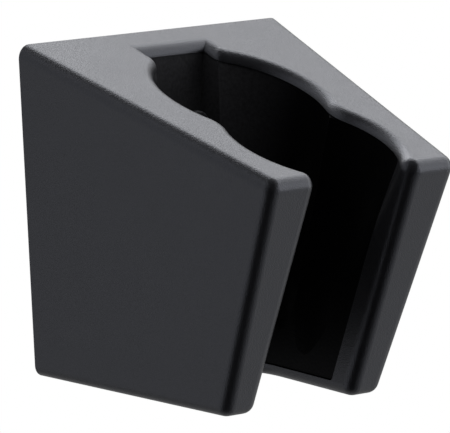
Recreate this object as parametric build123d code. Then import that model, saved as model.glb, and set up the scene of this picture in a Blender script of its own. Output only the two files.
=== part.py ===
from build123d import *
from math import cos, radians, sqrt, tan
import os

# A wall holder for a hand shower: a thin moulded cover, open at the back, over a seat insert.
# Millimetres, +Z up, +Y into the wall, origin in the middle of the back.

# Cover: a wedge whose top falls towards the front and whose front stands square to the top
width = 50.0  # across the back, at its top
height = 47.1  # of the back
lean = 16.3  # degrees that the top falls, and that the front leans in
side_sweep = 7.5  # degrees that each side closes in towards the front
side_draft = 7.0  # degrees that each side closes in towards the foot
wall = 1.3
foot_wall = 1.8
front_wall = 3.9
edge_round = 1.8  # on the outer edges
inner_round = 0.6  # in the inside corners
rim_round = 1.8  # round the opening

# Seats: two tapered round seats, one behind the other, over a slot to the front for the hose
seat_radius = 12.6  # of both seats at the rim
seat_depth = 34.5  # from the rim to where a seat is as narrow as the slot
seat_overlap = 11.0  # that the two seats share, from front to back
slot_width = 18.2
notch_width = 11.8  # of the notch behind the rear seat, for the screw heads
notch_depth = 1.85  # behind the rear seat's rim
waist_round = 5.0  # on the cover's opening, between the seats
notch_round = 2.0  # where the notch runs into the rear seat
nose_round = 2.5  # where the front seat runs into the slot
nose_setback = 1.7  # from the top front edge back to that place

# Insert: side cheeks round the seats, on a wall plate that clips into the cover
plate = 4.4
cheek_wall = 1.6  # at its thinnest, beside the seats
cover_lip = 0.25  # that the cover's rim stands in past the insert's walls
fit_gap = 0.15  # between the insert and the cover
front_gap = 0.2  # between the cheeks and the cover's front
bead_height = 0.6  # of the beads that clip into the cover's sides
bead_width = 1.4
bead_length = 16.0
bead_setback = 1.2  # from the wall to a bead

# Wall screws: two countersunk holes, one above the other
screw_hole = 5.2
screw_head = 9.6
screw_spacing = 18.0
screw_middle = -6.0  # height of the point between them

# Stud with a round head, on the back wall above the screws
stud_head = 4.84  # across
head_depth = 1.0
head_round = 0.3
stud_stem = 3.0  # across
stud_length = 5.9
stud_height = 11.4  # of its middle

overcut = 1.0  # that cutting shapes run past what they cut
tiny = 0.01  # for telling whether a point lies on a face
z_top = height / 2
z_foot = -height / 2
fall = tan(radians(lean))
slant = 1 / cos(radians(lean))

# The rear seat stands behind the front one, and the cover reaches as far as the two of them need
rear_axis = -plate - notch_depth - seat_radius
front_axis = rear_axis - 2 * seat_radius + seat_overlap
reach = -front_axis + sqrt(seat_radius**2 - (slot_width / 2) ** 2) + nose_setback
taper = (seat_radius - slot_width / 2) / seat_depth


def wedge(sides=0.0, top=0.0, foot=0.0, front=0.0, back=0.0):
    """The cover's outer form with its faces moved in, and its back moved out, by the given amounts."""
    front_line = -reach - fall * fall * reach + front * slant
    y_corner = (front_line + fall * top * slant) / (1 + fall * fall)
    z_corner = z_top + fall * y_corner - top * slant
    y_toe = y_corner + fall * (z_corner - z_foot - foot)
    profile = Polyline(
        (back, z_top + fall * back - top * slant),
        (y_corner, z_corner),
        (y_toe, z_foot + foot),
        (back, z_foot + foot),
        close=True,
    )
    block = extrude(Plane.YZ * make_face(profile), amount=width, both=True)
    for side in (-1, 1):
        outward = Vector(side, -tan(radians(side_sweep)), -tan(radians(side_draft)))
        on_side = Vector(side * (width / 2 - sides * outward.length), 0, z_top)
        block = split(block, Plane(on_side, z_dir=outward), keep=Keep.BOTTOM)
    return block


def seat_space(inset=0.0):
    """The room for a handle and its hose, from below the foot to above the rim, smaller all round by inset."""
    above = seat_radius / 2
    below = seat_depth + overcut
    rim = seat_radius - inset
    cone = Pos(0, 0, (above - below) / 2) * Cone(rim - taper * below, rim + taper * above, above + below)
    cone = Rot(0, 0, 90) * cone
    # The rear seat stands upright; the front seat leans with the cover's front and tips a handle forward
    rear = Pos(0, rear_axis, z_top + fall * rear_axis) * cone
    front = Pos(0, front_axis, z_top + fall * front_axis) * Rot(lean, 0, 0) * cone

    half = slot_width / 2 - inset
    front_end = -reach - overcut
    slot_plan = [
        Line((half, rear_axis), (half, front_end)),
        Line((half, front_end), (-half, front_end)),
        Line((-half, front_end), (-half, rear_axis)),
        RadiusArc((-half, rear_axis), (half, rear_axis), half),
    ]
    slot = Pos(0, 0, z_foot - overcut) * extrude(make_face(slot_plan), amount=height + 2 * overcut)

    back = -plate - inset
    notch_box = Box(notch_width - 2 * inset, back - rear_axis, height + 2 * overcut)
    notch = Pos(0, (back + rear_axis) / 2, 0) * notch_box
    return slot + notch + rear + front


def bead_zone(room):
    """The depth and height range of the clip beads, made larger by room."""
    centre = Pos(0, -bead_setback - bead_width / 2, 0)
    return centre * Box(width + 2 * overcut, bead_width + 2 * room, bead_length + 2 * room)


# Cover: a hollow wedge with rounded edges and with the opening through its top, front and foot
form = wedge()
solid_cover = fillet([edge for edge in form.edges() if edge.center().Y < -tiny], edge_round)
stock = wall + 1.5 * rim_round
core = wedge(stock, stock, stock, stock, overcut)
shell = solid_cover - core
opening = seat_space(cover_lip)
cover = shell - opening

outer_skin = solid_cover.shell()
inner_skin = core.shell()
opening_skin = opening.shell()
shell_edges = Compound(shell.edges())


def corners(piece, front, back, lowest=z_foot):
    """Edges of the opening across the cover's wall, with their middles between two depths and above lowest."""
    found = []
    for edge in piece.edges():
        middle = Vertex(edge.position_at(0.5))
        if front < middle.Y < back and middle.Z > lowest and opening_skin.distance_to(middle) < tiny:
            if outer_skin.distance_to(middle) > tiny and inner_skin.distance_to(middle) > tiny:
                found.append(edge)
    return found


def rim(piece):
    """Edges on the outer skin that the uncut shell does not have."""
    found = []
    for edge in piece.edges():
        middle = Vertex(edge.position_at(0.5))
        if outer_skin.distance_to(middle) < tiny and shell_edges.distance_to(middle) > tiny:
            found.append(edge)
    return found


cover = fillet(corners(cover, -reach, front_axis), nose_round)
# The waist is at the rim only; seats that reach down to the foot meet the slot there without a round
cover = fillet(corners(cover, front_axis, rear_axis - tiny, z_foot + stock), waist_round)
cover = fillet(corners(cover, rear_axis + tiny, -plate - cover_lip - tiny), notch_round)
cover = fillet(rim(cover), rim_round)
hollow = wedge(wall, wall, foot_wall, front_wall, overcut)
hollow = fillet([edge for edge in hollow.edges() if edge.center().Y < overcut - tiny], inner_round)
groove_depth = bead_height + fit_gap
groove = wedge(wall - groove_depth, wall, wall, wall, overcut) & bead_zone(fit_gap)
cover = cover - hollow - groove

# Insert: two cheeks round the seats, on a plate that fills the cover's back
side_gap = wall + fit_gap
room = wedge(side_gap, side_gap, foot_wall + fit_gap, front_wall + front_gap)
room = fillet([edge for edge in room.edges() if edge.center().Y < -tiny], inner_round)
cheek_top = seat_radius + taper * (height - seat_depth) + cheek_wall
cheek_foot = slot_width / 2 + cheek_wall
cheek_profile = Polyline(
    (-cheek_top, z_top), (cheek_top, z_top), (cheek_foot, z_foot), (-cheek_foot, z_foot), close=True
)
cheeks = extrude(Plane.XZ * make_face(cheek_profile), amount=reach) & room
back_plate = Pos(0, -plate / 2, 0) * Box(width, plate, height) & room
beads = wedge(wall - bead_height, wall, wall, wall) & bead_zone(0)
insert = cheeks + back_plate + beads - seat_space()
stem = Pos(0, 0, (plate + stud_length) / 2) * Cylinder(stud_stem / 2, plate + stud_length)
head = fillet(Cylinder(stud_head / 2, head_depth).edges(), head_round)
stud = stem + Pos(0, 0, plate + stud_length - head_depth / 2) * head
insert = insert + Pos(0, 0, stud_height) * Rot(90, 0, 0) * stud
sink = (screw_head - screw_hole) / 2
for z in (screw_middle - screw_spacing / 2, screw_middle + screw_spacing / 2):
    drill = Cylinder(screw_hole / 2, 2 * plate + 2 * overcut)
    sinking = Pos(0, 0, plate - sink / 2) * Cone(screw_hole / 2, screw_head / 2, sink)
    insert = insert - Pos(0, 0, z) * Rot(90, 0, 0) * (drill + sinking)

os.makedirs("parts", exist_ok=True)
for name, piece in (("cover", cover), ("seat_insert", insert)):
    print(name, "solids", len(piece.solids()), "volume", round(piece.volume, 1))
    export_step(piece, f"parts/{name}.step")
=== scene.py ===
# %% [markdown]
# # A hand shower holder in matt black plastic
#
# The holder has two moulded pieces: a thin wedge-shaped cover and, inside it, the insert with the seats.
# Both come from the CAD frame with the right shape, so this file gives them their looks, the light and the
# camera. All lengths are in metres, +Z is up and +Y goes into the wall.

# %% Load the frame
from math import cos, radians, sin

import bmesh
import bpy
from mathutils import Matrix, Vector

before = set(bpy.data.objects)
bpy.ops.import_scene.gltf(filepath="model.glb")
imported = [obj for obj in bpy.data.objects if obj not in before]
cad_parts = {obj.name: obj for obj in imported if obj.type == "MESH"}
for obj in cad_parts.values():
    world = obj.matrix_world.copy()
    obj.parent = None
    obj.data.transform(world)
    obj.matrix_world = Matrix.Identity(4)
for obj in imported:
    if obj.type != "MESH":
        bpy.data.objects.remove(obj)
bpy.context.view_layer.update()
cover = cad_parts["cover"]
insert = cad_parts["seat_insert"]
scene = bpy.context.scene
print("loaded", sorted(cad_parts))

# %% [markdown]
# ## Where the camera stands
#
# The camera stands to the left of the holder, a little above it, and uses a long lens, so the holder's
# parallel edges stay nearly parallel in the picture. A camera can be made to track an object, but then its
# roll is lost, and this one is rolled by a few degrees. So three angles give its axes, and the axes are the
# columns of its matrix; a camera looks along its own -Z.

# %% Camera
camera_place = Vector((-0.597784, -0.628971, 0.166292))
camera_turn = radians(44.299)  # to the right of straight at the wall
camera_down = radians(10.995)
camera_roll = radians(2.679)
camera_lens = 504.9  # millimetres
camera_sensor = 36  # its width, in millimetres
camera_reach = 10  # how far the camera sees

view_way = Vector((
    sin(camera_turn) * cos(camera_down),
    cos(camera_turn) * cos(camera_down),
    -sin(camera_down),
))
level_right = Vector((cos(camera_turn), -sin(camera_turn), 0))
level_up = level_right.cross(view_way)
camera_right = level_right * cos(camera_roll) + level_up * sin(camera_roll)
camera_up = camera_right.cross(view_way)

camera = bpy.data.objects.new("camera", bpy.data.cameras.new("camera"))
camera.data.lens = camera_lens
camera.data.sensor_width = camera_sensor
camera.data.clip_end = camera_reach
turned = Matrix((camera_right, camera_up, -view_way)).transposed().to_4x4()
camera.matrix_world = Matrix.Translation(camera_place) @ turned
scene.collection.objects.link(camera)
scene.camera = camera
print("camera at", [round(c, 3) for c in camera_place])

# %% [markdown]
# ## Helpers for shader nodes
#
# A material and the world are both trees of nodes, and the same few nodes come up again and again: a noise, a
# node that takes a value from one range to another, and a mix of two colours. Each gets a small function that
# adds the node to a tree and gives back its output.

# %% Node helpers
mix_share, mix_first, mix_second, mix_result = 0, 6, 7, 2  # the sockets of a Mix node that mixes colours


def noise(tree, place, size, detail):
    """A noise with features of about the given size."""
    node = tree.nodes.new("ShaderNodeTexNoise")
    node.inputs["Scale"].default_value = 1 / size
    node.inputs["Detail"].default_value = detail
    tree.links.new(place, node.inputs["Vector"])
    return node.outputs["Fac"]


def remap(tree, value, before, after, smooth=False):
    """The value taken from the range before to the range after, and held at its ends."""
    node = tree.nodes.new("ShaderNodeMapRange")
    if smooth:
        node.interpolation_type = "SMOOTHSTEP"
    for socket, number in zip(("From Min", "From Max", "To Min", "To Max"), (*before, *after)):
        node.inputs[socket].default_value = number
    tree.links.new(value, node.inputs["Value"])
    return node.outputs["Result"]


def mix_colours(tree, share, first, second):
    """The first colour where share is 0, the second where it is 1; each is plain or a node's output."""
    node = tree.nodes.new("ShaderNodeMix")
    node.data_type = "RGBA"
    tree.links.new(share, node.inputs[mix_share])
    for socket, colour in ((mix_first, first), (mix_second, second)):
        if isinstance(colour, tuple):
            node.inputs[socket].default_value = (*colour, 1)
        else:
            tree.links.new(colour, node.inputs[socket])
    return node.outputs[mix_result]


def split_axes(tree, place):
    """The outputs X, Y and Z of a place or a direction."""
    node = tree.nodes.new("ShaderNodeSeparateXYZ")
    tree.links.new(place, node.inputs["Vector"])
    return node.outputs


print("node helpers ready")

# %% [markdown]
# ## Moulded plastic
#
# Black plastic has very little colour of its own. What the eye sees is mostly the soft gloss of its skin, so
# the roughness and the fine grain matter more than the colour. The grain of the mould could be cut into the
# mesh, but it is far finer than the triangles, so a bump does it. Three noises at different sizes are enough:
# a grain that a finger would feel, faint patches in the gloss, and an even fainter unevenness of the colour.
# They all read Object coordinates, so they stay fixed to the piece. The insert is less glossy than the cover.
# Its colour darkens towards the front as painted shade: the seats deep in the slot are nearly black, and
# the back wall, which the light reaches, stays greyer.

# %% Plastic material
noise_range = (0.3, 0.7)  # where nearly all values of a noise lie
grain_detail = 2
patch_size, patch_detail = 0.004, 4
mottle_size, mottle_detail = 0.0005, 3
painted_shade_depths = (-0.018, -0.005)  # depths over which the painted shade of the seats fades into a plastic's own colour


def moulded_plastic(name, dark, light, rough, gloss, sheen, grain_size, grain_depth, painted_shade=None):
    """A black plastic between two colours and two roughnesses; the last colour is painted shade towards the
    front.
    """
    material = bpy.data.materials.new(name)
    material.use_nodes = True
    tree = material.node_tree
    shader = tree.nodes["Principled BSDF"]
    shader.inputs["Specular IOR Level"].default_value = gloss
    shader.inputs["Specular Tint"].default_value = (*sheen, 1)
    place = tree.nodes.new("ShaderNodeTexCoord").outputs["Object"]

    bump = tree.nodes.new("ShaderNodeBump")
    bump.inputs["Strength"].default_value = 1
    bump.inputs["Distance"].default_value = grain_depth
    tree.links.new(noise(tree, place, grain_size, grain_detail), bump.inputs["Height"])
    tree.links.new(bump.outputs["Normal"], shader.inputs["Normal"])

    patches = noise(tree, place, patch_size, patch_detail)
    tree.links.new(remap(tree, patches, noise_range, rough), shader.inputs["Roughness"])

    mottle = remap(tree, noise(tree, place, mottle_size, mottle_detail), noise_range, (0, 1))
    colour = mix_colours(tree, mottle, dark, light)
    # Painted shade: towards the front the colour darkens to near black, for the seats deep in the slot.
    if painted_shade:
        painted_shade_share = remap(tree, split_axes(tree, place)["Y"], painted_shade_depths, (0, 1), smooth=True)
        colour = mix_colours(tree, painted_shade_share, painted_shade, colour)
    tree.links.new(colour, shader.inputs["Base Color"])
    return material


cover_plastic = moulded_plastic(
    "cover_plastic",
    dark=(0.0065, 0.0065, 0.0075),
    light=(0.0095, 0.0095, 0.0105),
    rough=(0.30, 0.33),
    gloss=0.5,
    sheen=(0.86, 0.89, 1.0),
    grain_size=0.0002,
    grain_depth=0.00005,
)
insert_plastic = moulded_plastic(
    "insert_plastic",
    dark=(0.0140, 0.0140, 0.0151),
    light=(0.0230, 0.0230, 0.0249),
    rough=(0.40, 0.44),
    gloss=0.06,
    sheen=(0.92, 0.94, 1.0),
    grain_size=0.0004,
    grain_depth=0.00003,
    # painted shade, nearly black, for the seats deep in the slot
    painted_shade=(0.0005, 0.0005, 0.0006),
)
for node, material in ((cover, cover_plastic), (insert, insert_plastic)):
    node.data.materials.clear()
    node.data.materials.append(material)
print("plastics", cover_plastic.name, insert_plastic.name)

# %% [markdown]
# ## A white studio
#
# The holder floats before plain white: camera rays see white, and so would glass. One even white for all rays
# would be simpler, but it turns black plastic grey. So glossy rays see that white only faintly, and only
# behind and beside the holder, found from how far their direction agrees with the camera's: the camera's side
# of the room is dark, and it draws the dark lines along the edges that face the camera. All other rays get a
# fill from above, which leaves the foot and the deep slot dark.

# %% World
white = (1, 1, 1, 1)
gloss_level = 0.45
wrap_range = (-0.55, 0.35)  # agreement with the view at which that white begins and is full
fill_level = 1.0
fill_range = (0.0, 0.9)  # height of a direction at which the fill begins and is full

studio = bpy.data.worlds.new("white_studio")
scene.world = studio
studio.use_nodes = True
sky = studio.node_tree
backdrop = sky.nodes["Background"]
backdrop.inputs["Color"].default_value = white
ray = sky.nodes.new("ShaderNodeLightPath").outputs
way = sky.nodes.new("ShaderNodeTexCoord").outputs["Generated"]


def sky_math(operation, first, second):
    """A maths node of the world; each side is a node's output or a plain number."""
    node = sky.nodes.new("ShaderNodeMath")
    node.operation = operation
    for side, value in enumerate((first, second)):
        if isinstance(value, (int, float)):
            node.inputs[side].default_value = value
        else:
            sky.links.new(value, node.inputs[side])
    return node.outputs["Value"]


agreement = sky.nodes.new("ShaderNodeVectorMath")
agreement.operation = "DOT_PRODUCT"
agreement.inputs[1].default_value = view_way
sky.links.new(way, agreement.inputs[0])
wrap = remap(sky, agreement.outputs["Value"], wrap_range, (0, gloss_level), smooth=True)
fill = remap(sky, split_axes(sky, way)["Z"], fill_range, (0, fill_level), smooth=True)

seen = sky_math("MAXIMUM", ray["Is Camera Ray"], ray["Is Transmission Ray"])
mirrored = sky_math("MULTIPLY", ray["Is Glossy Ray"], wrap)
other = sky_math("SUBTRACT", 1, sky_math("MAXIMUM", seen, ray["Is Glossy Ray"]))
bright = sky_math("MAXIMUM", seen, mirrored)
quiet = sky_math("MULTIPLY", other, fill)
sky.links.new(sky_math("ADD", bright, quiet), backdrop.inputs["Strength"])
print("world", studio.name)

# %% [markdown]
# ## The floor
#
# Such a holder hangs well above a bathroom floor, so the floor is one flat sheet far below the picture. A
# grid with a single face is all it needs. It is as white as the backdrop and only the camera sees it: its
# bounce would lighten the foot, which is dark.

# %% Floor
floor_level = -1.6
floor_half = 3.0  # from its middle to an edge

floor_mesh = bpy.data.meshes.new("floor")
sheet = bmesh.new()
bmesh.ops.create_grid(sheet, x_segments=1, y_segments=1, size=floor_half)
bmesh.ops.translate(sheet, vec=(0, 0, floor_level), verts=sheet.verts)
sheet.to_mesh(floor_mesh)
sheet.free()
floor = bpy.data.objects.new("floor", floor_mesh)
scene.collection.objects.link(floor)
for rays in ("visible_diffuse", "visible_glossy", "visible_transmission", "visible_shadow"):
    setattr(floor, rays, False)

floor_white = bpy.data.materials.new("floor_white")
floor_white.use_nodes = True
floor_shader = floor_white.node_tree.nodes["Principled BSDF"]
floor_shader.inputs["Base Color"].default_value = (0, 0, 0, 1)
floor_shader.inputs["Specular IOR Level"].default_value = 0
floor_shader.inputs["Emission Color"].default_value = white
floor_shader.inputs["Emission Strength"].default_value = 1
floor_mesh.materials.append(floor_white)
print("floor at", floor_level)

# %% [markdown]
# ## Softboxes
#
# Black plastic shows lamps more than it shows light, so each face needs something bright to mirror. Separate
# boxes are easier to tune than one big lamp, as each serves one face or edge. The front mirrors the boxes on
# the right, a low one in its middle and a high one in its rounded top edge. The left side mirrors a tall box
# on the left, and the sloping top a strong box behind, with a smaller one beside it for the rim. A weak box
# high on the left softens the other side of the rim. They all stand at the same distance, and glow is how
# bright a box looks, with white as 1.

# %% Lamps
lamp_distance = 0.8
lamp_colour = (0.96, 0.97, 1.0)  # a little cool
glow_watts = 4  # watts that a square metre of lamp needs to look white


def softbox(name, azimuth, elevation, width, height, glow):
    """A soft lamp that faces the holder; azimuth goes from +X round to +Y, both angles in degrees."""
    lamp = bpy.data.objects.new(name, bpy.data.lights.new(name, "AREA"))
    lamp.data.shape = "RECTANGLE"
    lamp.data.size = width
    lamp.data.size_y = height
    lamp.data.energy = glow * glow_watts * width * height
    lamp.data.color = lamp_colour
    round_z, up_z = radians(azimuth), radians(elevation)
    toward = Vector((cos(round_z) * cos(up_z), sin(round_z) * cos(up_z), sin(up_z)))
    lamp.location = toward * lamp_distance
    lamp.rotation_mode = "QUATERNION"
    lamp.rotation_quaternion = toward.to_track_quat("Z", "Y")
    lamp.visible_camera = False
    scene.collection.objects.link(lamp)
    return lamp


# name, azimuth, elevation, width, height, glow
lamps = [
    softbox("right_softbox", -38, 14, 0.80, 0.65, 1.45),
    softbox("low_right_softbox", -52, -15, 1.35, 1.10, 0.28),
    softbox("upper_right_softbox", -2, 38, 0.55, 0.40, 2.10),
    softbox("back_softbox", 50, 42, 0.80, 0.55, 1.68),
    softbox("rim_softbox", 62, 44, 0.40, 0.35, 1.80),
    softbox("left_softbox", 163, 8, 0.80, 2.20, 0.57),
    softbox("upper_left_softbox", 118, 48, 0.50, 0.50, 0.45),
]
print("lamps", [lamp.name for lamp in lamps])

# %% [markdown]
# ## View settings
#
# The Standard view keeps colours as they are written.

# %% Finish
scene.view_settings.view_transform = "Standard"
